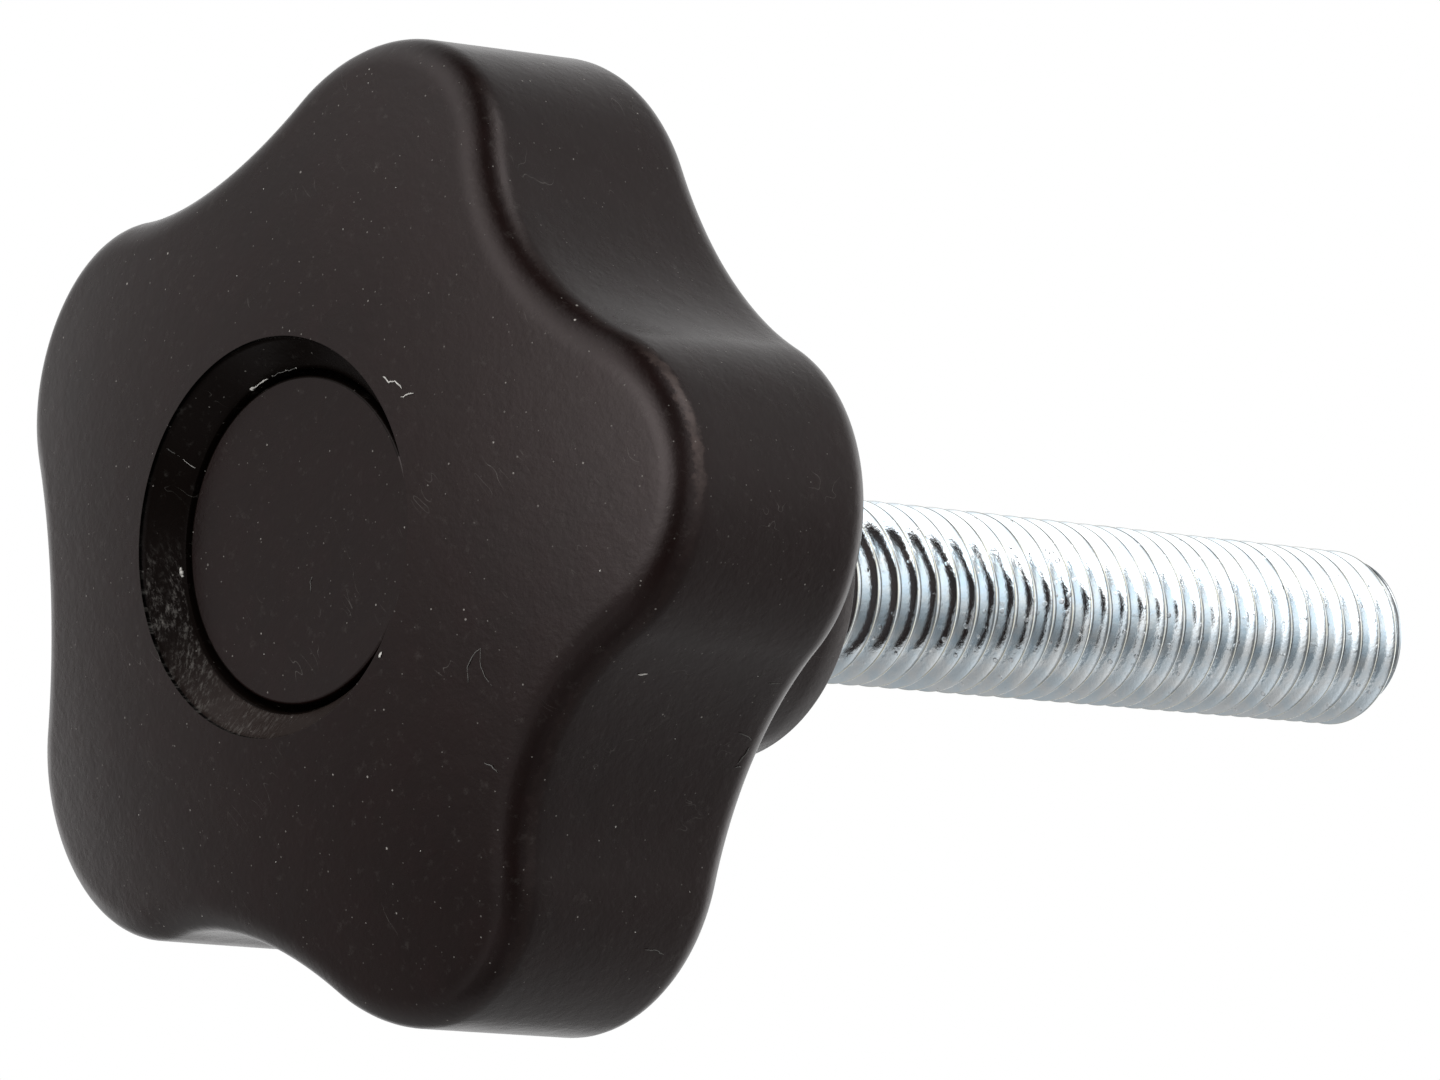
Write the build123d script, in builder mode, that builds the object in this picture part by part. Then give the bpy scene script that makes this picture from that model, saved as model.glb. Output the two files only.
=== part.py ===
"""Five-lobe star knob with a moulded-in M10 x 50 stud and a press-in cover cap.

Millimetres. The knob's axis is Z and the stud points up it. The origin is on the axis, in the
plane of the hub's end face, which is the face that seats on whatever the knob clamps. The face
of the knob is crowned and looks down, so the part stands on the ring around its recess.
"""
import os
from math import atan2, cos, degrees, radians, sin, sqrt, tan

from build123d import *

# ---- Moulded body ----
lobe_count = 5
knob_radius = 25.375        # axis to lobe tip at the rear, where the drafted block is widest
lobe_tip_radius = 8.855875  # rounding of each lobe
valley_depth = 5.151125     # lobe tips to the bottom of each finger valley
flank_draft = 1.35          # degrees, the flank narrows towards the face
knob_height = 32.0          # top of the crown, across the recess, to the hub's end face
crown_radius = 75.0         # sphere of the face
underside_radius = 120.0    # sphere of the rear
lobe_thickness = 12.15      # front edge to rear edge at a lobe tip
front_edge_radius = 2.15
rear_edge_radius = 1.65
turning_allowance = 1.0     # the lobed block stands this far past both domes before they are turned

# ---- Hub ----
hub_wall = 1.9              # plastic outside the corners of the stud's anchor
hub_draft = 1.5             # degrees
hub_root_radius = 2.0
hub_end_chamfer = 0.2
relief_wall = 1.3           # ring-shaped relief left open around the stud, beyond the thread
relief_depth = 0.6

# ---- Recess in the face, and the cap that closes it ----
cap_radius = 8.05
cap_flange = 1.5            # thickness of the cap's disc
cap_edge_chamfer = 0.15
cap_gap = 0.37              # open ring left around the cap
cap_depth = 1.85            # rim of the recess down to the cap's face
wall_run = 1.38             # how far the sloping wall of the recess leans in
rim_step = 0.2              # short upright step just inside the rim
flange_overhang = 2.05      # disc beyond the spigot behind it
spigot_length = 3.5
spigot_wall = 1.4
spigot_lead = 0.4           # chamfer that starts the spigot in its pocket
pocket_clearance = 0.5      # left under the end of the spigot

# ---- Stud ----
thread_major_radius = 4.925
stud_length = 50.0          # hub's end face to the tip
tip_chamfer = 1.05
neck_radius = 4.5           # plain shank between the anchor and the thread
anchor_cover = 4.0          # plastic between the cap's pocket and the anchor
anchor_sides = 6
anchor_across_flats = 13.0
anchor_length = 12.0
groove_width = 3.0
groove_depth = 1.3          # below the flats


def sag(sphere_radius, reach):
    """Height of a sphere's cap, from the circle at this reach from the axis up to its top."""
    return sphere_radius - sqrt(sphere_radius**2 - reach**2)


def at_angle(reach, angle):
    """Point at this reach from the axis and this angle about it, in degrees."""
    return (reach * cos(radians(angle)), reach * sin(radians(angle)))


# ---- Levels along the axis ----
crown_top_z = -knob_height
front_edge_z = crown_top_z + sag(crown_radius, knob_radius)
rear_edge_z = front_edge_z + lobe_thickness
underside_top_z = rear_edge_z + sag(underside_radius, knob_radius)

cap_bore_radius = cap_radius + cap_gap
rim_radius = cap_bore_radius + wall_run
rim_z = crown_top_z + sag(crown_radius, rim_radius)
cap_face_z = rim_z + cap_depth
ledge_z = cap_face_z + cap_flange
spigot_radius = cap_radius - flange_overhang
pocket_floor_z = ledge_z + spigot_length + pocket_clearance

anchor_front_z = pocket_floor_z + anchor_cover
groove_z = anchor_front_z + (anchor_length - groove_width) / 2
anchor_corner_radius = anchor_across_flats / 2 / cos(radians(180 / anchor_sides))
groove_radius = anchor_across_flats / 2 - groove_depth
hub_radius = anchor_corner_radius + hub_wall
hub_root_reach = hub_radius - tan(radians(hub_draft)) * rear_edge_z

# ---- Lobe outline: convex lobe arcs joined by concave valley arcs, tangent to each other ----
half_pitch = 180 / lobe_count
lobe_centre_reach = knob_radius - lobe_tip_radius
waist_radius = knob_radius - valley_depth
lean = lobe_centre_reach * cos(radians(half_pitch))
valley_arc_radius = (
    (lobe_tip_radius**2 - lobe_centre_reach**2 - waist_radius**2 + 2 * waist_radius * lean)
    / (2 * (waist_radius - lean - lobe_tip_radius))
)
valley_centre_reach = waist_radius + valley_arc_radius
lobe_half_angle = degrees(
    atan2(
        valley_centre_reach * sin(radians(half_pitch)),
        valley_centre_reach * cos(radians(half_pitch)) - lobe_centre_reach,
    )
)
valley_half_angle = lobe_half_angle - half_pitch


# ---- Stud: threaded rod with a chamfered tip, and a grooved hexagonal anchor at its buried end ----
with BuildPart() as threaded_stud:
    with BuildSketch(Plane.XY.offset(anchor_front_z)):
        RegularPolygon(anchor_across_flats / 2, anchor_sides, major_radius=False)
    extrude(amount=anchor_length)
    with BuildSketch(Plane.XY.offset(groove_z)):
        Circle(anchor_corner_radius)
        Circle(groove_radius, mode=Mode.SUBTRACT)
    extrude(amount=groove_width, mode=Mode.SUBTRACT)
    with BuildSketch(Plane.XY.offset(anchor_front_z)):
        Circle(neck_radius)
    extrude(amount=-anchor_front_z)
    with BuildSketch(Plane.XY):
        Circle(thread_major_radius)
    extrude(amount=stud_length)
    chamfer(threaded_stud.faces().sort_by(Axis.Z)[-1].edges(), tip_chamfer)
threaded_stud.part.label = "threaded_stud"


# ---- Cover cap: disc with a press-in ring spigot behind it ----
with BuildPart() as cover_cap:
    with BuildSketch(Plane.XY.offset(cap_face_z)):
        Circle(cap_radius)
    extrude(amount=cap_flange)
    chamfer(cover_cap.faces().sort_by(Axis.Z)[0].edges(), cap_edge_chamfer)
    with BuildSketch(Plane.XY.offset(ledge_z)):
        Circle(spigot_radius)
        Circle(spigot_radius - spigot_wall, mode=Mode.SUBTRACT)
    extrude(amount=spigot_length)
    spigot_end = cover_cap.faces().sort_by(Axis.Z)[-1]
    chamfer(spigot_end.outer_wire().edges(), spigot_lead)
cover_cap.part.label = "cover_cap"


# ---- Body: one moulding, with its hub, finger valleys, recess and the stud's bed ----
with BuildPart() as knob_body:
    # drafted block with the lobed outline, a little taller than the crown and the underside
    block_rear_z = underside_top_z + turning_allowance
    block_height = block_rear_z - crown_top_z + turning_allowance
    with BuildSketch(Plane.XY.offset(block_rear_z)):
        with BuildLine():
            for index in range(lobe_count):
                lobe_angle = 2 * index * half_pitch
                valley_angle = lobe_angle + half_pitch
                CenterArc(
                    at_angle(lobe_centre_reach, lobe_angle),
                    lobe_tip_radius,
                    start_angle=lobe_angle - lobe_half_angle,
                    arc_size=2 * lobe_half_angle,
                )
                CenterArc(
                    at_angle(valley_centre_reach, valley_angle),
                    valley_arc_radius,
                    start_angle=valley_angle + 180 - valley_half_angle,
                    arc_size=2 * valley_half_angle,
                )
        make_face()
    extrude(amount=-block_height, taper=flank_draft)

    # crowned face and domed underside, turned to a reach well outside the lobes
    with BuildSketch(Plane.XZ):
        with BuildLine():
            turned_reach = knob_radius + lobe_tip_radius
            face_top = (0, crown_top_z)
            face_end = (turned_reach, crown_top_z + sag(crown_radius, turned_reach))
            rear_top = (0, underside_top_z)
            rear_end = (turned_reach, underside_top_z - sag(underside_radius, turned_reach))
            RadiusArc(face_top, face_end, -crown_radius)
            Line(face_end, rear_end)
            RadiusArc(rear_end, rear_top, -underside_radius)
            Line(rear_top, face_top)
        make_face()
    revolve(axis=Axis.Z, mode=Mode.INTERSECT)

    crown_face, underside_face = knob_body.faces().filter_by(GeomType.SPHERE).sort_by(Axis.Z)
    fillet(crown_face.edges(), front_edge_radius)
    fillet(underside_face.edges(), rear_edge_radius)

    # hub, rooted inside the block, with a soft root and a relief around the stud in its end
    with BuildSketch(Plane.XZ):
        hub_corners = [(0, 0), (hub_radius, 0), (hub_root_reach, rear_edge_z), (0, rear_edge_z)]
        Polygon(*hub_corners, align=None)
    revolve(axis=Axis.Z)
    chamfer(knob_body.faces().sort_by(Axis.Z)[-1].edges(), hub_end_chamfer)
    hub_side = knob_body.faces().filter_by(GeomType.CONE).sort_by(SortBy.AREA)[-1]
    fillet(hub_side.edges().sort_by(Axis.Z)[0], hub_root_radius)
    with BuildSketch(Plane.XY):
        Circle(thread_major_radius + relief_wall)
    extrude(amount=-relief_depth, mode=Mode.SUBTRACT)

    # recess in the face: upright step, sloping wall, seat for the cap, pocket for its spigot
    with BuildSketch(Plane.XZ):
        above_crown_z = crown_top_z - cap_depth
        recess_corners = [
            (0, above_crown_z),
            (rim_radius, above_crown_z),
            (rim_radius, rim_z + rim_step),
            (cap_bore_radius, cap_face_z),
            (cap_bore_radius, ledge_z),
            (spigot_radius, ledge_z),
            (spigot_radius, pocket_floor_z),
            (0, pocket_floor_z),
        ]
        Polygon(*recess_corners, align=None)
    revolve(axis=Axis.Z, mode=Mode.SUBTRACT)

    # the plastic is moulded round the stud and its anchor
    add(threaded_stud.part, mode=Mode.SUBTRACT)
knob_body.part.label = "knob_body"


os.makedirs("parts", exist_ok=True)
export_step(knob_body.part, "parts/knob_body.step")
export_step(cover_cap.part, "parts/cover_cap.step")
export_step(threaded_stud.part, "parts/threaded_stud.step")
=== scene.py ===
"""Star knob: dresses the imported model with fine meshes, materials, dust and studio light."""

import math

import bmesh
import bpy
import numpy as np
from mathutils import Matrix, Vector
from mathutils.bvhtree import BVHTree


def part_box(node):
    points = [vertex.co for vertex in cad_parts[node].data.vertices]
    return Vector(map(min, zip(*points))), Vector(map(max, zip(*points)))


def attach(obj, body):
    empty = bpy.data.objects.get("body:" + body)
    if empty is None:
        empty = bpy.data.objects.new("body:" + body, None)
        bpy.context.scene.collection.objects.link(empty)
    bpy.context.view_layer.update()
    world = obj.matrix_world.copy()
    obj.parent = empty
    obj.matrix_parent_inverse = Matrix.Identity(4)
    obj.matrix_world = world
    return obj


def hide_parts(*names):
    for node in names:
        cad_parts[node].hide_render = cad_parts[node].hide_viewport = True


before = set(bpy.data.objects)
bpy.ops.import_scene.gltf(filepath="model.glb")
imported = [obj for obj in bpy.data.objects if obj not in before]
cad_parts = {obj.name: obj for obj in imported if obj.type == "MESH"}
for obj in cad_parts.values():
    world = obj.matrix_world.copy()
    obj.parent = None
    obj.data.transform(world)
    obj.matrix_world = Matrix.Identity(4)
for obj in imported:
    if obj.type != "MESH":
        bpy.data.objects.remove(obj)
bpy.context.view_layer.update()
scene = bpy.context.scene
scene.view_settings.view_transform = "Standard"
MM = 0.001

# ---------------------------------------------------------------- sizes of the model, in millimetres
LOBES = 5
KNOB_R, TIP_R, VALLEY_DEPTH = 25.375, 8.855875, 5.151125
DRAFT = math.radians(1.35)
CROWN_R, UNDER_R = 75.0, 120.0
FRONT_FILLET, REAR_FILLET = 2.15, 1.65
UNDER_TOP = -12.7134  # where the underside's dome would reach the axis
TURNING_ALLOWANCE = 1.0
BLOCK_Z = UNDER_TOP + TURNING_ALLOWANCE  # rear of the drafted block, where KNOB_R holds
HUB_R = 9.4056  # in the plane of the hub's end
HUB_SLOPE = math.tan(math.radians(1.5))
HUB_CHAMFER, HUB_ROOT = 0.2, 2.0
RELIEF_R, RELIEF_DEPTH = 6.225, 0.6
BORE_R, RIM_R, RIM_STEP = 8.42, 9.8, 0.2
POCKET_Z = -24.0  # floor of the pocket, hidden behind the cap
CAP_R, CAP_EDGE, FLANGE = 8.05, 0.15, 1.5
SPIGOT_R, SPIGOT_BORE_R, SPIGOT_LENGTH, SPIGOT_LEAD = 6.0, 4.6, 3.5, 0.4
TIP_CHAMFER = 1.05

# ---------------------------------------------------------------- sizes that only the scene has
PITCH, CREST_R, ROOT_R = 1.5, 4.915, 4.085  # of the rolled thread
CREST_SHARE = 0.085  # width of the crest's flat, as a share of the pitch
AXIS_R = 0.02  # smallest ring, where a surface closes on the axis
BURIED_R, BURIED_Z = 4.3, -4.0  # where the body's skin closes, out of sight under the stud

body_lo, body_hi = (np.array(v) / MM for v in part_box("knob_body"))
cap_lo, _ = (np.array(v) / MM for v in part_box("cover_cap"))
_, stud_hi = (np.array(v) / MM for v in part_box("threaded_stud"))
RIM_Z, SEAT_Z = body_lo[2], body_hi[2]
CAP_FACE_Z = cap_lo[2]
CROWN_TOP = RIM_Z - (CROWN_R - math.sqrt(CROWN_R**2 - RIM_R**2))
TIP_Z = stud_hi[2]


# ---------------------------------------------------------------- mesh helpers
def mesh_object(name, verts, faces, material=None):
    """Smooth-shaded object from points in millimetres."""
    mesh = bpy.data.meshes.new(name)
    mesh.from_pydata([tuple(v) for v in np.asarray(verts) * MM], [], [tuple(f) for f in faces])
    mesh.update()
    ob = bpy.data.objects.new(name, mesh)
    scene.collection.objects.link(ob)
    for p in mesh.polygons:
        p.use_smooth = True
    if material:
        mesh.materials.append(material)
    return ob


def skin(rings):
    """Quads between closed rings of equal length: returns vertices and faces."""
    n = len(rings[0])
    verts = np.concatenate(rings)
    faces = []
    for k in range(len(rings) - 1):
        a, b = k * n, (k + 1) * n
        for i in range(n):
            j = (i + 1) % n
            faces.append((a + i, a + j, b + j, b + i))
    return verts, faces


def ring(radius, z, count):
    t = np.arange(count) * 2 * math.pi / count
    return np.stack([radius * np.cos(t), radius * np.sin(t), np.full(count, z)], 1)


# ---------------------------------------------------------------- moulded body
def outline(per_lobe, per_valley):
    """Points and outward normals of the lobed outline at the block's rear, in polar order."""
    reach = KNOB_R - TIP_R
    waist = KNOB_R - VALLEY_DEPTH
    half = math.pi / LOBES
    lean = reach * math.cos(half)
    valley = (TIP_R**2 - reach**2 - waist**2 + 2 * waist * lean) / (2 * (waist - lean - TIP_R))
    far = waist + valley
    lobe_half = math.atan2(far * math.sin(half), far * math.cos(half) - reach)
    valley_half = lobe_half - half
    points, normals = [], []
    for k in range(LOBES):
        a = 2 * half * k
        centre = reach * np.array([math.cos(a), math.sin(a)])
        for t in np.linspace(-lobe_half, lobe_half, per_lobe, endpoint=False):
            n = np.array([math.cos(a + t), math.sin(a + t)])
            points.append(centre + TIP_R * n)
            normals.append(n)
        a += half
        centre = far * np.array([math.cos(a), math.sin(a)])
        for t in np.linspace(valley_half, -valley_half, per_valley, endpoint=False):
            n = np.array([math.cos(a + t), math.sin(a + t)])
            points.append(centre - valley * n)
            normals.append(n)
    return np.array(points), np.array(normals)


def flank(points, normals, z):
    """Points of the drafted flank at height z, one value or one a point."""
    z = np.broadcast_to(np.asarray(z, float), (len(points),))
    xy = points - normals * ((BLOCK_Z - z) * math.tan(DRAFT))[:, None]
    return np.column_stack([xy, z])


def rolled_edge(points, normals, sphere_z, sphere_r, side, radius):
    """Centres and the two contact directions of a ball of this radius rolled along an edge."""
    tilt = np.column_stack([normals * math.cos(DRAFT), np.full(len(points), -math.sin(DRAFT))])
    z = np.full(len(points), sphere_z + side * sphere_r)
    for _ in range(12):
        centre = flank(points, normals, z) - radius * tilt
        level = sphere_z + side * np.sqrt(
            (sphere_r - radius) ** 2 - (centre[:, :2] ** 2).sum(1)
        )
        z = level + radius * tilt[:, 2]
    away = centre - np.array([0, 0, sphere_z])
    away /= np.linalg.norm(away, axis=1)[:, None]
    return centre, tilt, away


def arc_rings(centre, start, end, radius, steps):
    """Rings along the rolled edge, from the start direction to the end direction."""
    angle = np.arccos(np.clip((start * end).sum(1), -1, 1))[:, None]
    rings = []
    for t in np.linspace(0, 1, steps + 1):
        way = (np.sin((1 - t) * angle) * start + np.sin(t * angle) * end) / np.sin(angle)
        rings.append(centre + radius * way)
    return rings


def dome_rings(loop, inner_r, sphere_z, sphere_r, side, steps):
    """Rings on the sphere from a contact loop in to a circle; the last ring is the circle."""
    polar = np.arctan2(loop[:, 1], loop[:, 0])
    inner = inner_r * np.column_stack([np.cos(polar), np.sin(polar)])
    rings = []
    for t in np.linspace(0, 1, steps + 1)[1:]:
        xy = loop[:, :2] * (1 - t) + inner * t
        z = sphere_z + side * np.sqrt(sphere_r**2 - (xy**2).sum(1))
        rings.append(np.column_stack([xy, z]))
    return rings


def hub_side(z):
    """Radius of the drafted hub at this height."""
    return HUB_R - HUB_SLOPE * z


def hub_root(under_z):
    """Radius and height of points round the fillet between the underside's dome and the hub."""
    lean = math.atan(HUB_SLOPE)

    def reach(z):
        return hub_side(z) + HUB_ROOT / math.cos(lean)

    z = UNDER_TOP
    for _ in range(20):
        z = under_z + math.sqrt((UNDER_R + HUB_ROOT) ** 2 - reach(z) ** 2)
    centre = np.array([reach(z), z])
    to_dome = np.array([0, under_z]) - centre
    start = math.atan2(to_dome[1], to_dome[0])
    end = math.atan2(-math.sin(lean), -math.cos(lean))
    if end > start:
        end -= 2 * math.pi
    turns = np.linspace(start, end, 9)
    return [centre + HUB_ROOT * np.array([math.cos(a), math.sin(a)]) for a in turns]


def recess_rows(crown_level):
    """Radii and heights from the pocket, over the cap's seat and the sloping wall, to the rim."""
    f, ledge = CAP_FACE_Z, CAP_FACE_Z + FLANGE
    rows = [(AXIS_R, POCKET_Z), (SPIGOT_R, POCKET_Z), (SPIGOT_R, ledge), (BORE_R, ledge)]
    rows += [(BORE_R, f + 0.8), (BORE_R, f + 0.06), (BORE_R + 0.03, f)]
    for t in np.linspace(0.1, 1, 8):
        rows.append((BORE_R + (RIM_R - BORE_R) * t, f + (RIM_Z + RIM_STEP - f) * t))
    rows += [(RIM_R, RIM_Z + 0.03), (RIM_R, RIM_Z + 0.004)]
    rows.append((RIM_R + 0.008, crown_level(RIM_R + 0.008)))
    return rows


def body_rings():
    """Rings of the body's skin from the pocket to the stud, and how many bands are the recess."""
    pts, nrm = outline(64, 36)
    crown_z, under_z = CROWN_TOP + CROWN_R, UNDER_TOP - UNDER_R
    ball, tilt, to_crown = rolled_edge(pts, nrm, crown_z, CROWN_R, -1, FRONT_FILLET)
    front = arc_rings(ball, to_crown, tilt, FRONT_FILLET, 10)
    ball, tilt, to_under = rolled_edge(pts, nrm, under_z, UNDER_R, 1, REAR_FILLET)
    rear = arc_rings(ball, tilt, to_under, REAR_FILLET, 8)
    polar = np.arctan2(front[0][:, 1], front[0][:, 0])

    def circle(r, z):
        level = np.full(len(polar), float(z))
        return np.column_stack([r * np.cos(polar), r * np.sin(polar), level])

    def crown_level(r):
        return crown_z - math.sqrt(CROWN_R**2 - r * r)

    rings = [circle(r, z) for r, z in recess_rows(crown_level)]
    recess_bands = len(rings) - 1
    rings += dome_rings(front[0], RIM_R + 0.04, crown_z, CROWN_R, -1, 30)[::-1]
    rings += front
    low, high = front[-1][:, 2], rear[0][:, 2]
    for t in np.linspace(0, 1, 13)[1:-1]:
        rings.append(flank(pts, nrm, low + (high - low) * t))
    rings += rear
    # hub: root fillet against the dome, drafted side, chamfered end, relief around the stud
    root = hub_root(under_z)
    rings += dome_rings(rear[-1], root[0][0], under_z, UNDER_R, 1, 16)
    rings += [circle(*p) for p in root[1:]]
    last = root[-1][1]
    for t in np.linspace(0, 1, 9)[1:]:
        z = last + (-HUB_CHAMFER - last) * t
        rings.append(circle(hub_side(z), z))
    end_r = hub_side(0) - HUB_CHAMFER
    for r, z in (
        (end_r + 0.16, -0.11), (end_r, 0.0), (end_r - 0.12, 0.0), (RELIEF_R + 0.1, 0.0),
        (RELIEF_R, -0.03), (RELIEF_R, -RELIEF_DEPTH), (BURIED_R, -RELIEF_DEPTH),
        (BURIED_R, BURIED_Z), (AXIS_R, BURIED_Z),
    ):
        rings.append(circle(r, z))
    return rings, recess_bands


# ---------------------------------------------------------------- cap
def cap_rings():
    """Rings over the cap's face and rounded edge, and back round its ring spigot."""
    f, c = CAP_FACE_Z, CAP_EDGE
    back, end = f + FLANGE, f + FLANGE + SPIGOT_LENGTH
    rows = [(AXIS_R, f), (2.0, f), (4.5, f), (6.5, f), (7.5, f), (CAP_R - c - 0.01, f)]
    for t in np.linspace(0, math.pi / 2, 5):
        rows.append((CAP_R - c + c * math.sin(t), f + c - c * math.cos(t)))
    rows += [(CAP_R, f + 0.4), (CAP_R, back - 0.03), (CAP_R - 0.03, back), (SPIGOT_R, back)]
    rows += [(SPIGOT_R, end - SPIGOT_LEAD), (SPIGOT_R - SPIGOT_LEAD, end), (SPIGOT_BORE_R, end)]
    rows += [(SPIGOT_BORE_R, back), (AXIS_R, back)]
    return [ring(r, z, 160) for r, z in rows]


# ---------------------------------------------------------------- thread
def thread_profile():
    """Distances along the axis and radii, from the middle of one crest to that of the next."""
    depth = CREST_R - ROOT_R
    crest_half = CREST_SHARE * PITCH / 2
    flank_run = depth * math.tan(math.radians(30))
    points = [(0.0, 0.0), (crest_half * 0.72, -0.006), (crest_half * 1.05, -0.035)]
    for t in (0.16, 0.42, 0.68, 0.88):
        points.append((crest_half + flank_run * t, -depth * t))
    points.append((crest_half + flank_run * 1.03, -depth * 0.975))
    points.append((PITCH / 2, -depth))
    half = np.array(points)
    other = half[1:-1][::-1].copy()
    other[:, 0] = PITCH - other[:, 0]
    full = np.concatenate([half, other])
    return full[:, 0], CREST_R + full[:, 1]


def thread_mesh(start_z, end_z, around):
    """Helical strip of profiles between two levels, chamfered towards the upper one."""
    along, radii = thread_profile()
    count = len(along)
    turns = int(math.ceil((end_z - start_z) / PITCH)) + 2
    total = turns * around
    step = np.arange(total + around + 1)
    angle = step * 2 * math.pi / around
    base_z = start_z - PITCH + PITCH * step / around
    z = base_z[:, None] + along[None, :]
    r = np.broadcast_to(radii[None, :], z.shape).copy()
    # rolled crests wander a little
    wander = 0.012 * np.sin(angle * 1.7 + 0.6) + 0.008 * np.sin(angle * 0.43)
    crest = np.clip((r - (CREST_R - 0.08)) / 0.08, 0, 1)
    r -= crest * (0.012 + wander[:, None] * 0.5)
    # the tip's chamfer cuts the thread, with a soft edge
    bevel = (CREST_R - TIP_CHAMFER) + np.clip(end_z - z, 0, None)
    soft = 0.10
    near = np.clip(1 - np.abs(r - bevel) / soft, 0, 1) ** 2
    r = np.where(r + soft < bevel, r, np.minimum(r, bevel) - 0.25 * soft * near)
    level = np.clip(z, start_z, end_z)
    verts = np.stack([r * np.cos(angle)[:, None], r * np.sin(angle)[:, None], level], 2)
    outside = ((z <= start_z) | (z >= end_z)).reshape(-1)

    def index(m, j):
        return (m + around) * count if j == count else m * count + j

    faces = []
    for m in range(total):
        for j in range(count):
            quad = (index(m, j), index(m + 1, j), index(m + 1, j + 1), index(m, j + 1))
            if not all(outside[q] for q in quad):
                faces.append(quad)
    return verts.reshape(-1, 3), faces


def stud_object(material, around=120):
    """Threaded stud from the relief's floor to its sheared tip."""
    verts, faces = thread_mesh(-RELIEF_DEPTH, TIP_Z, around)
    base = len(verts)
    # radii of the sheared end and how far each is dished
    dish = (CREST_R - TIP_CHAMFER + 0.02, 0.0), (3.2, 0.015), (2.2, 0.06), (1.0, 0.09), (AXIS_R, 0.1)
    end_verts, end_faces = skin([ring(r, TIP_Z - depth, around) for r, depth in dish])
    verts = np.concatenate([verts, end_verts])
    faces += [tuple(q + base for q in f) for f in end_faces]
    ob = mesh_object("stud_thread", verts, faces, material)
    bm = bmesh.new()
    bm.from_mesh(ob.data)
    bmesh.ops.remove_doubles(bm, verts=bm.verts, dist=3e-6)
    bmesh.ops.delete(bm, geom=[v for v in bm.verts if not v.link_faces], context="VERTS")
    bm.to_mesh(ob.data)
    bm.free()
    return ob


# ---------------------------------------------------------------- node helpers
class Nodes:
    """Small helper that adds and links shader nodes."""

    def __init__(self, tree):
        self.tree = tree
        tree.nodes.clear()

    def add(self, kind, **settings):
        node = self.tree.nodes.new(kind)
        for key, value in settings.items():
            setattr(node, key, value)
        return node

    def put(self, socket, value):
        if isinstance(value, bpy.types.NodeSocket):
            self.tree.links.new(value, socket)
        else:
            socket.default_value = value

    def math(self, operation, a, b=0.0, c=0.0, clamp=False):
        node = self.add("ShaderNodeMath", operation=operation, use_clamp=clamp)
        for socket, value in zip(node.inputs, (a, b, c)):
            self.put(socket, value)
        return node.outputs[0]

    def times(self, *factors):
        product = factors[0]
        for factor in factors[1:]:
            product = self.math("MULTIPLY", product, factor)
        return product

    def vector(self, operation, a, b=None, scale=None):
        node = self.add("ShaderNodeVectorMath", operation=operation)
        self.put(node.inputs[0], a)
        if b is not None:
            self.put(node.inputs[1], b)
        if scale is not None:
            self.put(node.inputs["Scale"], scale)
        return node.outputs["Value"] if operation == "DOT_PRODUCT" else node.outputs[0]

    def ramp(self, value, low, high, out_low=0.0, out_high=1.0, smooth=True):
        kind = "SMOOTHSTEP" if smooth else "LINEAR"
        node = self.add("ShaderNodeMapRange", interpolation_type=kind)
        for socket, v in zip(node.inputs, (value, low, high, out_low, out_high)):
            self.put(socket, v)
        return node.outputs[0]

    def noise(self, vector, scale, detail=3.0, rough=0.55):
        node = self.add("ShaderNodeTexNoise")
        self.put(node.inputs["Vector"], vector)
        node.inputs["Scale"].default_value = scale
        node.inputs["Detail"].default_value = detail
        node.inputs["Roughness"].default_value = rough
        return node.outputs[0]

    def mix(self, factor, a, b):
        node = self.add("ShaderNodeMix", data_type="RGBA", clamp_factor=True)
        for k, value in ((0, factor), (6, a), (7, b)):  # the sockets for colours
            self.put(node.inputs[k], value)
        return node.outputs[2]

    def mix_shader(self, factor, a, b):
        node = self.add("ShaderNodeMixShader")
        for socket, value in zip(node.inputs, (factor, a.outputs[0], b.outputs[0])):
            self.put(socket, value)
        return node.outputs[0]

    def bump(self, height, distance):
        node = self.add("ShaderNodeBump")
        node.inputs["Strength"].default_value = 1.0
        node.inputs["Distance"].default_value = distance
        self.put(node.inputs["Height"], height)
        return node.outputs[0]

    def millimetres(self):
        coord = self.add("ShaderNodeTexCoord")
        return self.vector("SCALE", coord.outputs["Object"], scale=1 / MM)

    def axes(self, vector):
        """The vector's x, y and z, and its distance from the axis."""
        split = self.add("ShaderNodeSeparateXYZ")
        self.put(split.inputs[0], vector)
        x, y, z = split.outputs
        return x, y, z, self.math("SQRT", self.math("ADD", self.times(x, x), self.times(y, y)))


def material(name):
    """New material with its node helper, its principled shader and its output node."""
    mat = bpy.data.materials.new(name)
    mat.use_nodes = True
    n = Nodes(mat.node_tree)
    out = n.add("ShaderNodeOutputMaterial")
    shader = n.add("ShaderNodeBsdfPrincipled")
    n.put(out.inputs[0], shader.outputs[0])
    return mat, n, shader, out


# ---------------------------------------------------------------- camera, fitted to the photograph
LENS, SENSOR_WIDTH = 175.84725, 36.0
VIEW_TURN = Vector((0.895760, 0.452325, 2.251790))  # axis times angle
VIEW_SHIFT = Vector((-19.22696, 0.11334, 343.84574))
FIT_SEAT_Z = 27.6793  # height of the hub's end in the frame that the view was fitted in

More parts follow.
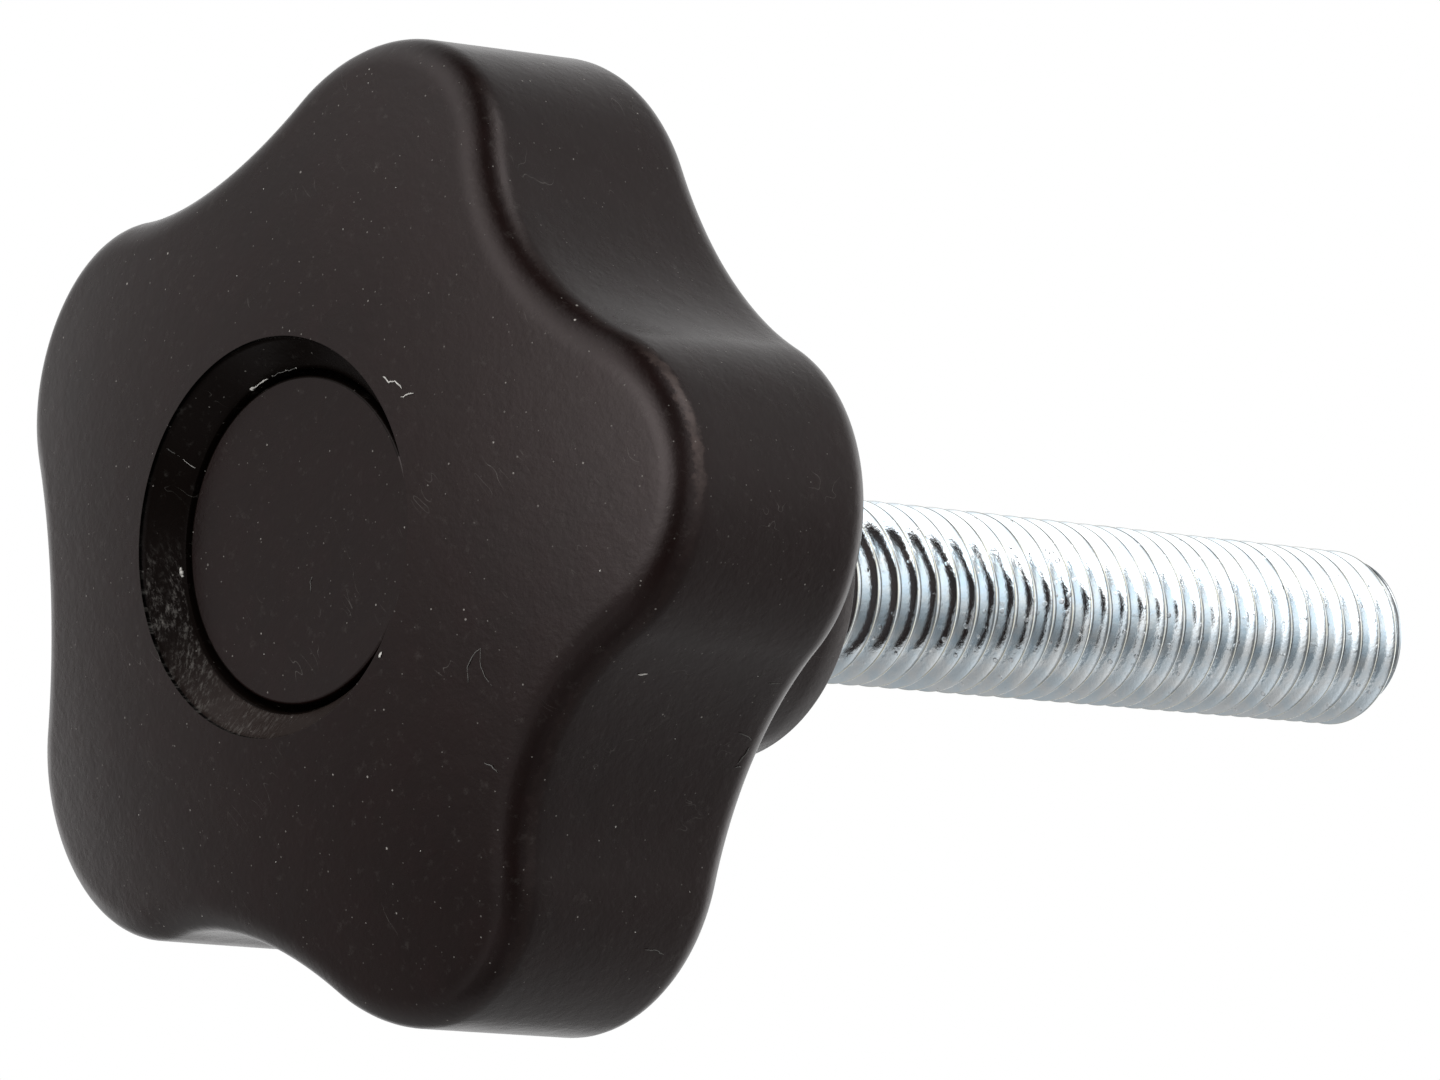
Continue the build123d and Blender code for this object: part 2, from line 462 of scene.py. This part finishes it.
to_camera = Matrix.Rotation(VIEW_TURN.length, 3, VIEW_TURN.normalized())
eye = -(to_camera.transposed() @ VIEW_SHIFT) - Vector((0, 0, FIT_SEAT_Z - SEAT_Z))
right, down, ahead = (Vector(to_camera[k]) for k in range(3))
camera_data = bpy.data.cameras.new("camera")
camera = bpy.data.objects.new("camera", camera_data)
scene.collection.objects.link(camera)
scene.camera = camera
camera_data.sensor_width = SENSOR_WIDTH
camera_data.lens = LENS
camera_data.clip_start, camera_data.clip_end = 0.01, 20
camera.matrix_world = Matrix.Translation(eye * MM) @ Matrix(
    (
        (right.x, -down.x, -ahead.x),
        (right.y, -down.y, -ahead.y),
        (right.z, -down.z, -ahead.z),
    )
).to_4x4()

# ---------------------------------------------------------------- light
SOFT_BOXES = (  # right, up and ahead of the camera, tightness, level
    (-0.55, 0.35, -0.76, 9.9, 3.80),
    (0.54, 0.82, -0.19, 27.5, 2.83),
    (-0.97, 0.22, 0.13, 3.8, 0.67),
    (-0.52, 0.85, -0.10, 9.4, 1.70),
    (-0.63, -0.14, 0.76, 31.3, 1.41),
    (-0.38, 0.62, 0.68, 8.9, 0.89),
    (0.74, -0.67, -0.06, 2.8, 0.38),
    (0.81, 0.38, 0.44, 8.8, 0.52),
    (0.26, 0.50, 0.82, 18.7, 0.54),
    (0.37, 0.83, 0.41, 16.8, 0.41),
    (-0.45, -0.85, 0.28, 1.8, 0.82),
    (0.65, 0.30, -0.70, 3.7, 1.27),
    (0.81, 0.40, -0.43, 9.8, 0.44),
    (-0.24, -0.71, -0.66, 9.5, 0.93),
)
OVERHEAD = (6.0, 1.9)  # tightness and level of the light straight above the standing knob
ROOM = -0.501  # level that the boxes are added to
GAP_DEPTH, GAP_HALF, GAP_SOFT = 0.60, 0.257, 0.093  # a dark band on the camera's side
GAP_BEARING, GAP_ROLL = math.radians(4.7), math.radians(12.4)
GAP_FRONT = (-0.1, 0.2)  # cosines from the camera's side between which the gap fades in
BACKDROP = (0.80, 0.97)  # cosines from the view's axis between which mirrors see the backdrop
WHITE = (1, 1, 1, 1)


def studio():
    """Soft boxes around the object, a dark gap on the camera's side, and a white backdrop."""
    world = bpy.data.worlds.new("studio")
    scene.world = world
    world.use_nodes = True
    n = Nodes(world.node_tree)
    out = n.add("ShaderNodeOutputWorld")
    way = n.add("ShaderNodeTexCoord").outputs["Generated"]

    def towards(d):
        return n.vector("DOT_PRODUCT", way, tuple(d.normalized()))

    def box(d, tight, level):
        fade = n.math("EXPONENT", n.math("MULTIPLY_ADD", towards(d), tight, -tight))
        return n.times(fade, level)

    def background(level):
        node = n.add("ShaderNodeBackground")
        node.inputs["Color"].default_value = WHITE
        n.put(node.inputs["Strength"], level)
        return node

    level = box(Vector((0, 0, 1)), *OVERHEAD)
    for x, y, z, tight, strength in SOFT_BOXES:
        level = n.math("ADD", level, box(right * x - down * y + ahead * z, tight, strength))
    level = n.math("MAXIMUM", n.math("ADD", level, ROOM), 0.0)
    # the gap is a band that runs down the picture, rolled a little
    side = right * math.cos(GAP_BEARING) + ahead * math.sin(GAP_BEARING)
    offset = n.math("ABSOLUTE", towards(side * math.cos(GAP_ROLL) + down * math.sin(GAP_ROLL)))
    inside = n.ramp(offset, GAP_HALF, GAP_HALF + GAP_SOFT, GAP_DEPTH, 0.0)
    facing = right * math.sin(GAP_BEARING) - ahead * math.cos(GAP_BEARING)
    front = n.ramp(towards(facing), *GAP_FRONT)
    level = n.times(level, n.math("SUBTRACT", 1.0, n.times(inside, front)))
    path = n.add("ShaderNodeLightPath").outputs
    mirrored = n.math("MAXIMUM", path["Is Glossy Ray"], path["Is Transmission Ray"])
    backdrop = n.times(mirrored, n.ramp(towards(ahead), *BACKDROP))
    seen = n.math("MAXIMUM", path["Is Camera Ray"], backdrop)
    n.put(out.inputs[0], n.mix_shader(seen, background(level), background(1.0)))


def floor_object():
    """Pale floor under the standing knob, open from below, where the photograph's camera is."""
    mat, n, shader, out = material("floor_paint")
    tone = n.noise(n.millimetres(), 0.02, 2.0)
    n.put(shader.inputs["Base Color"], n.mix(tone, (0.78, 0.78, 0.78, 1), (0.82, 0.82, 0.82, 1)))
    shader.inputs["Roughness"].default_value = 0.9
    shader.inputs["Specular IOR Level"].default_value = 0.1
    below = n.add("ShaderNodeNewGeometry").outputs["Backfacing"]
    clear = n.add("ShaderNodeBsdfTransparent")
    n.put(out.inputs[0], n.mix_shader(below, shader, clear))
    size, z = 3000.0, RIM_Z - 0.02
    grid = [(x, y, z) for y in (-size, 0, size) for x in (-size, 0, size)]
    faces = [(0, 1, 4, 3), (1, 2, 5, 4), (3, 4, 7, 6), (4, 5, 8, 7)]
    ob = mesh_object("floor", grid, faces, mat)
    ob.visible_diffuse = ob.visible_glossy = ob.visible_transmission = False
    ob.visible_shadow = False


# ---------------------------------------------------------------- materials
BLACKS = ((0.0048, 0.0012, 0.0008, 1), (0.0066, 0.0020, 0.0014, 1))
BLACK_BLOTCH = (0.0075, 0.0016, 0.0014, 1)
RUBBED_BROWN = (0.060, 0.042, 0.037, 1)
# the wall's lighter colour is painted light on one side of the recess
WALL_DARK, WALL_PAINTED_LIGHT = (0.0042, 0.0026, 0.0020, 1), (0.0270, 0.0195, 0.0170, 1)
# painted shadow for the upright step inside the rim
STEP_SHADOW = (0.0004, 0.0003, 0.0002, 1)
DUST_GREY = (0.55, 0.52, 0.48, 1)
PLASTIC_TINT = (1.0, 0.88, 0.87, 1)
PLASTIC_SPECULAR, WALL_SPECULAR = 0.37, 0.12
PLATE = ((0.79, 0.89, 0.96, 1), (0.90, 0.94, 0.96, 1))
YELLOW_FILM = (0.94, 0.93, 0.80, 1)
NICK_BRIGHT = (0.97, 0.98, 0.99, 1)
DUST_LAYERS = (  # cells a millimetre, radius, share of cells, salt, level
    (2.4, 0.050, 0.34, 3.0, 0.30),
    (1.3, 0.062, 0.30, 29.0, 0.55),
    (0.62, 0.080, 0.30, 17.0, 0.8),
)
SCUFF_TURN, RUBBED_TURN = 0.10, 2.62  # radians; each mark is centred on minus this bearing


def specks(n, mm, scale, radius, share, salt):
    """Share of dust at a point: round specks of about this radius in a few of the cells."""
    cells = n.add("ShaderNodeTexVoronoi", feature="F1")
    n.put(cells.inputs["Vector"], n.vector("ADD", mm, (salt, salt * 1.7, -salt)))
    cells.inputs["Scale"].default_value = scale
    split = n.add("ShaderNodeSeparateColor")
    n.put(split.inputs[0], cells.outputs["Color"])
    spot = n.ramp(cells.outputs["Distance"], radius * scale * 0.5, radius * scale, 1.0, 0.0)
    chosen = n.math("LESS_THAN", split.outputs[0], share)
    shade = n.ramp(split.outputs[1], 0.0, 1.0, 0.12, 1.0, smooth=False)
    return n.times(spot, chosen, shade)


def scratches(n, mm, stretch, scale, low, high, salt):
    """Fine lines: noise stretched along one axis and cut to thin ridges."""
    far = n.vector("MULTIPLY", n.vector("ADD", mm, (salt, 0.0, salt)), stretch)
    wave = n.noise(far, scale, 2.0, 0.5)
    ridge = n.math("ABSOLUTE", n.math("SUBTRACT", wave, 0.5))
    return n.ramp(ridge, low, high, 1.0, 0.0)


def plastic_dust(n, mm):
    """Specks of three sizes, a faint haze, and fine scratches in a few worn patches."""
    dust = 0.0
    for scale, radius, share, salt, level in DUST_LAYERS:
        layer = n.times(specks(n, mm, scale, radius, share, salt), level)
        dust = n.math("MAXIMUM", dust, layer)
    haze = n.times(n.ramp(n.noise(mm, 1.6, 5.0, 0.7), 0.56, 0.78), 0.035)
    worn = scratches(n, mm, (1.0, 0.22, 0.5), 0.9, 0.0, 0.004, 5.0)
    worn = n.times(worn, n.ramp(n.noise(mm, 0.30, 3.0), 0.60, 0.70, 0.0, 0.16))
    return n.math("MAXIMUM", n.math("MAXIMUM", dust, haze), worn)


def body_tone(n, mm, turn, z, reach):
    """Uneven black, with a rubbed and mottled strip just behind the rolled front edge."""
    tone = n.mix(n.ramp(n.noise(mm, 0.09, 3.0), 0.35, 0.65), *BLACKS)
    blotch = n.ramp(n.noise(mm, 0.45, 3.0, 0.6), 0.42, 0.68)
    tone = n.mix(n.times(blotch, 0.5), tone, BLACK_BLOTCH)
    # height past the crown's own level, less the front fillet, with a wavy edge
    past = n.math("SUBTRACT", z, n.times(reach, reach, 0.5 / CROWN_R))
    past = n.math("SUBTRACT", past, CROWN_TOP + FRONT_FILLET)
    past = n.math("ADD", past, n.ramp(n.noise(mm, 1.1, 4.0, 0.7), 0.2, 0.8, -0.22, 0.22))
    band = n.times(n.ramp(past, -1.36, -1.14), n.ramp(past, -0.95, -0.65, 1.0, 0.0))
    outer = n.ramp(reach, 12.0, 14.0)
    mottle = n.ramp(n.noise(mm, 1.5, 4.0, 0.65), 0.34, 0.60, 0.45, 1.0)
    off = n.math("ABSOLUTE", n.math("ADD", turn, RUBBED_TURN))
    strip = n.times(band, outer, mottle, n.ramp(off, 0.09, 0.19, 1.0, 0.12))
    return n.mix(strip, tone, RUBBED_BROWN)


def wall_tone(n, mm, turn, z, reach):
    """Colour of the recess's sloping wall, with painted light on one side and painted shadow on the
    rim's step, and the scuffs on one side, as a share.
    """
    low = n.ramp(z, CAP_FACE_Z - 0.1, CAP_FACE_Z - 0.2, 0.0, 1.0)
    off = n.math("ABSOLUTE", n.math("ADD", turn, SCUFF_TURN))
    side = n.ramp(off, 0.45, 0.95, 1.0, 0.0)
    lay = n.add("ShaderNodeCombineXYZ")
    n.put(lay.inputs[0], n.times(n.vector("DOT_PRODUCT", mm, (0.92, 0.39, 0.0)), 2.6))
    n.put(lay.inputs[1], n.times(n.vector("DOT_PRODUCT", mm, (0.39, -0.92, 0.0)), 0.6))
    streak = n.ramp(n.noise(lay.outputs[0], 2.6, 7.0, 0.8), 0.49, 0.68)
    patch = n.ramp(n.noise(mm, 0.9, 4.0, 0.6), 0.30, 0.56)
    scuffs = n.times(n.times(streak, patch), n.times(low, side))
    # painted light: the wall's black turns lighter over one range of bearings
    lit = n.times(n.ramp(turn, 0.35, -0.55, 0.0, 1.0), n.ramp(turn, -2.6, -1.2))
    tone = n.mix(n.times(lit, low), WALL_DARK, WALL_PAINTED_LIGHT)
    # the short upright step inside the rim gets painted shadow
    step = n.ramp(reach, RIM_R - 0.03, RIM_R - 0.005)
    return n.mix(step, tone, STEP_SHADOW), scuffs


def plastic(name, wall=False):
    """Black moulded plastic with dust; the wall variant is for the recess, and carries its painted
    light and painted shadow.
    """
    mat, n, shader, _ = material(name)
    mm = n.millimetres()
    x, y, z, reach = n.axes(mm)
    turn = n.math("ARCTAN2", y, x)
    dust = plastic_dust(n, mm)
    grain, swell = n.noise(mm, 3.0, 4.0, 0.62), n.noise(mm, 0.9, 3.0, 0.6)
    height = n.math("ADD", grain, n.times(swell, 1.6))
    gloss = n.ramp(n.noise(mm, 0.6, 4.0), 0.3, 0.7, 0.25, 0.28)
    if wall:
        tone, scuffs = wall_tone(n, mm, turn, z, reach)
        dust = n.math("MAXIMUM", n.times(dust, 1.5), n.times(scuffs, 0.30))
        height = n.math("ADD", height, n.times(scuffs, 1.2))
    else:
        tone = body_tone(n, mm, turn, z, reach)
    level = WALL_SPECULAR if wall else PLASTIC_SPECULAR
    shader.inputs["Specular IOR Level"].default_value = level
    shader.inputs["Specular Tint"].default_value = PLASTIC_TINT
    n.put(shader.inputs["Base Color"], n.mix(dust, tone, DUST_GREY))
    n.put(shader.inputs["Roughness"], n.math("ADD", gloss, n.times(dust, 0.5), clamp=True))
    n.put(shader.inputs["Normal"], n.bump(height, 0.000012))
    return mat


def zinc(name):
    """Bright zinc plate: bluish, with a yellowish film on the crests and small nicks."""
    mat, n, shader, _ = material(name)
    mm = n.millimetres()
    *_, reach = n.axes(mm)
    plate = n.mix(n.ramp(n.noise(mm, 0.7, 4.0, 0.6), 0.35, 0.65), *PLATE)
    crest = n.ramp(reach, CREST_R - 0.06, CREST_R - 0.01)
    film = n.times(crest, n.ramp(n.noise(mm, 1.2, 3.0), 0.35, 0.6, 0.1, 0.8))
    plate = n.mix(film, plate, YELLOW_FILM)
    nick = specks(n, mm, 1.7, 0.16, 0.55, 4.0)
    n.put(shader.inputs["Base Color"], n.mix(n.times(nick, 0.6), plate, NICK_BRIGHT))
    shader.inputs["Metallic"].default_value = 1.0
    gloss = n.ramp(n.noise(mm, 2.2, 4.0), 0.3, 0.7, 0.06, 0.11)
    n.put(shader.inputs["Roughness"], n.math("ADD", gloss, n.times(nick, 0.25)))
    height = n.math("ADD", n.noise(mm, 5.0, 4.0, 0.6), n.times(nick, 2.0))
    n.put(shader.inputs["Normal"], n.bump(height, 0.000008))
    return mat


def lint_paint(name, level):
    """Warm white of this level, for fibres and crumbs."""
    mat, n, shader, _ = material(name)
    tone = n.ramp(n.noise(n.millimetres(), 6.0, 2.0), 0.0, 1.0, 0.5 * level, level)
    colour = n.add("ShaderNodeCombineColor")
    for socket, share in zip(colour.inputs, (1.0, 0.97, 0.91)):
        n.put(socket, n.times(tone, share))
    n.put(shader.inputs["Base Color"], colour.outputs[0])
    shader.inputs["Roughness"].default_value = 0.75
    return mat


# ---------------------------------------------------------------- pieces
CAP_PAINTED_SHADE_WIDTH, CAP_PAINTED_SHADE_Y = 0.14, -2.0  # painted shade: the cap's edge past this y has the recess's darker, less glossy paint

studio()
floor_object()
black = plastic("black_plastic")
wall_black = plastic("wall_plastic", wall=True)
cap_black = plastic("cap_plastic")
steel = zinc("zinc_plate")

shell, recess_bands = body_rings()
body = mesh_object("body_shell", *skin(shell), material=black)
body.data.materials.append(wall_black)
# the recess takes the wall paint, with its painted light and painted shadow
for polygon in body.data.polygons[:recess_bands * len(shell[0])]:
    polygon.material_index = 1
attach(body, "root")
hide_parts("knob_body")

stud = stud_object(steel)
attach(stud, "root")
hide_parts("threaded_stud")

cap = mesh_object("cap_disc", *skin(cap_rings()), material=cap_black)
cap.data.materials.append(wall_black)
# painted shade: one side of the cap's edge takes the recess's darker, less glossy paint
for polygon in cap.data.polygons:
    x, y = (v / MM for v in polygon.center[:2])
    if math.hypot(x, y) > CAP_R - CAP_PAINTED_SHADE_WIDTH and y > CAP_PAINTED_SHADE_Y:
        polygon.material_index = 1
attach(cap, "root")
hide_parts("cover_cap")

# ---------------------------------------------------------------- lint, flakes and dust
BRIGHT, FAINT = 0, 1
FIBRES = (  # on the face: points as x and y, radius, paint
    (((-10.7, 0.4), (-10.8, -0.1), (-11.1, -0.3), (-11.2, -0.9)), 0.040, BRIGHT),
    (((-10.9, -1.2), (-11.3, -1.4), (-11.6, -1.6)), 0.035, BRIGHT),
    (((3.1, 9.1), (3.1, 8.6)), 0.022, FAINT),
    (((3.1, 8.5), (3.2, 8.0), (3.2, 7.5)), 0.018, BRIGHT),
    (((-1.97, -9.87), (-2.15, -9.84), (-2.3, -9.80)), 0.075, BRIGHT),
    (((-2.3, 8.13), (-2.61, 8.04), (-3.08, 7.87), (-3.38, 7.74)), 0.035, BRIGHT),
    (((-3.7, 7.6), (-4.14, 7.37), (-4.6, 7.09), (-5.2, 6.66)), 0.020, FAINT),
    (((-5.1, -14.4), (-5.6, -13.8), (-6.3, -13.6), (-6.8, -13.7)), 0.022, FAINT),
    (((-6.8, -13.7), (-6.3, -14.1), (-6.0, -14.8), (-6.0, -15.4)), 0.018, FAINT),
    (((-3.1, -17.6), (-3.3, -18.0), (-3.3, -18.4)), 0.034, FAINT),
    (((0.4, -2.1), (0.7, -2.2), (1.0, -2.6)), 0.022, FAINT),
)
FLANK_FIBRES = (  # on the flank: points as bearing and height, radius, paint
    (((-119.3, -25.5), (-119.5, -24.9)), 0.040, BRIGHT),
    (((-111.6, -16.9), (-111.2, -16.3), (-110.6, -15.9)), 0.026, FAINT),
    (((-109.5, -15.8), (-108.2, -15.9), (-106.8, -16.1)), 0.024, FAINT),
    (((-106.2, -16.2), (-106.4, -15.8)), 0.032, FAINT),
    (((-119.6, -17.0), (-119.9, -16.2)), 0.020, FAINT),
    (((-84.1, -19.1), (-84.1, -18.4), (-83.7, -17.7)), 0.026, FAINT),
)
CRUMBS = (  # on the face: x, y, size
    (-2.22, 8.15, 0.16), (-2.34, 8.12, 0.12), (-3.10, 7.87, 0.07), (-3.70, 7.60, 0.06),
    (-4.60, 7.09, 0.06), (-5.20, 6.66, 0.07), (7.12, 4.78, 0.14), (7.20, 4.62, 0.16),
    (7.28, 4.46, 0.11),
    (5.4, -2.6, 0.05), (-14.0, -15.4, 0.09), (-9.4, 14.9, 0.06), (-5.9, 12.2, 0.06),
    (-1.0, 18.5, 0.05), (-16.1, 8.1, 0.05), (-12.6, 8.7, 0.06), (-17.1, 14.6, 0.05),
    (16.9, -2.8, 0.05), (10.5, -11.7, 0.05), (13.4, -9.8, 0.04), (17.2, -9.2, 0.05),
    (2.9, -17.8, 0.05),
)
FLANK_CRUMBS = (  # on the flank: bearing, height, size
    (-109.8, -20.8, 0.06), (-120.6, -18.0, 0.05), (-96.8, -22.7, 0.07), (-95.1, -23.6, 0.05),
    (-89.7, -20.7, 0.06), (-90.6, -17.2, 0.05), (-86.0, -20.1, 0.05), (-79.3, -16.7, 0.05),
)
SIDES = 5  # of a fibre's tube and of a crumb
RAY_BELOW, RAY_OUT = 5, 40  # where rays start: this far below the rim, and from the axis


def surface_finder(*objects):
    """Returns a function that drops a ray on the pieces, in millimetres."""
    trees = []
    for ob in objects:
        verts = [v.co / MM for v in ob.data.vertices]
        trees.append(BVHTree.FromPolygons(verts, [tuple(p.vertices) for p in ob.data.polygons]))

    def drop(start, way):
        hits = [tree.ray_cast(Vector(start), Vector(way)) for tree in trees]
        hits = [h for h in hits if h[0] is not None]
        if not hits:
            return None
        point, normal = min(hits, key=lambda h: h[3])[:2]
        return point, -normal if normal.dot(Vector(way)) > 0 else normal

    return drop


def dust_object(name, paints, drop):
    """Fibres as thin tubes and crumbs as small angular lumps, all lying on the surface."""
    shake = np.random.default_rng(23)
    verts, faces, paint_of = [], [], []

    def on_face(x, y):
        return drop((x, y, RIM_Z - RAY_BELOW), (0, 0, 1))

    def on_flank(bearing, z):
        x, y = math.cos(math.radians(bearing)), math.sin(math.radians(bearing))
        return drop((RAY_OUT * x, RAY_OUT * y, z), (-x, -y, 0))

    def fibre(place, points, radius, paint):
        """Tube through the surface points under a fibre, uneven in width and pinched at its ends."""
        hits = [place(*p) for p in points]
        line = []
        for k in range(len(hits) - 1):
            for t in (0.0, 0.33, 0.67):
                point = hits[k][0].lerp(hits[k + 1][0], t) + Vector(shake.normal(0, 0.02, 3))
                line.append((point + hits[k][1] * radius * 0.8, hits[k][1]))
        line.append((hits[-1][0] + hits[-1][1] * radius * 0.8, hits[-1][1]))
        for k, (point, normal) in enumerate(line):
            ahead_point = line[min(k + 1, len(line) - 1)][0]
            behind_point = line[max(k - 1, 0)][0]
            run = (ahead_point - behind_point).normalized()
            side = run.cross(normal).normalized()
            width = radius * (0.35 if k in (0, len(line) - 1) else shake.uniform(0.7, 1.2))
            base = len(verts)
            for s in range(SIDES):
                t = 2 * math.pi * s / SIDES
                verts.append(point + side * (width * math.cos(t)) + normal * (width * math.sin(t)))
            if k:
                for s in range(SIDES):
                    u = (s + 1) % SIDES
                    faces.append((base - SIDES + s, base - SIDES + u, base + u, base + s))
            else:
                faces.append(tuple(base + s for s in reversed(range(SIDES))))
        faces.append(tuple(len(verts) - SIDES + s for s in range(SIDES)))
        paint_of.extend([paint] * (len(faces) - len(paint_of)))

    def crumb(hit, size):
        """Low lump with an uneven five-sided foot."""
        point, normal = hit
        base = len(verts)
        one = normal.orthogonal().normalized()
        two = normal.cross(one)
        for s in range(SIDES):
            t = 2 * math.pi * s / SIDES + shake.uniform(-0.3, 0.3)
            r = size * shake.uniform(0.6, 1.15)
            verts.append(point + one * (r * math.cos(t)) + two * (r * math.sin(t)) - normal * 0.01)
        verts.append(point + normal * (size * shake.uniform(0.5, 0.8)))
        faces.extend((base + s, base + (s + 1) % SIDES, base + SIDES) for s in range(SIDES))
        faces.append(tuple(base + s for s in reversed(range(SIDES))))

    for points, radius, paint in FIBRES:
        fibre(on_face, points, radius, paint)
    for points, radius, paint in FLANK_FIBRES:
        fibre(on_flank, points, radius, paint)
    for x, y, size in CRUMBS:
        crumb(on_face(x, y), size)
    for bearing, z, size in FLANK_CRUMBS:
        crumb(on_flank(bearing, z), size)
    verts = [(v[0], v[1], max(v[2], RIM_Z)) for v in verts]  # nothing stands past the rim
    ob = mesh_object(name, verts, faces, paints[BRIGHT])
    ob.data.materials.append(paints[FAINT])
    for polygon, paint in zip(ob.data.polygons, paint_of):
        polygon.material_index = paint
    return ob


lint_paints = (lint_paint("lint_bright", 0.80), lint_paint("lint_faint", 0.16))
lint = dust_object("lint", lint_paints, surface_finder(body, cap))
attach(lint, "root")
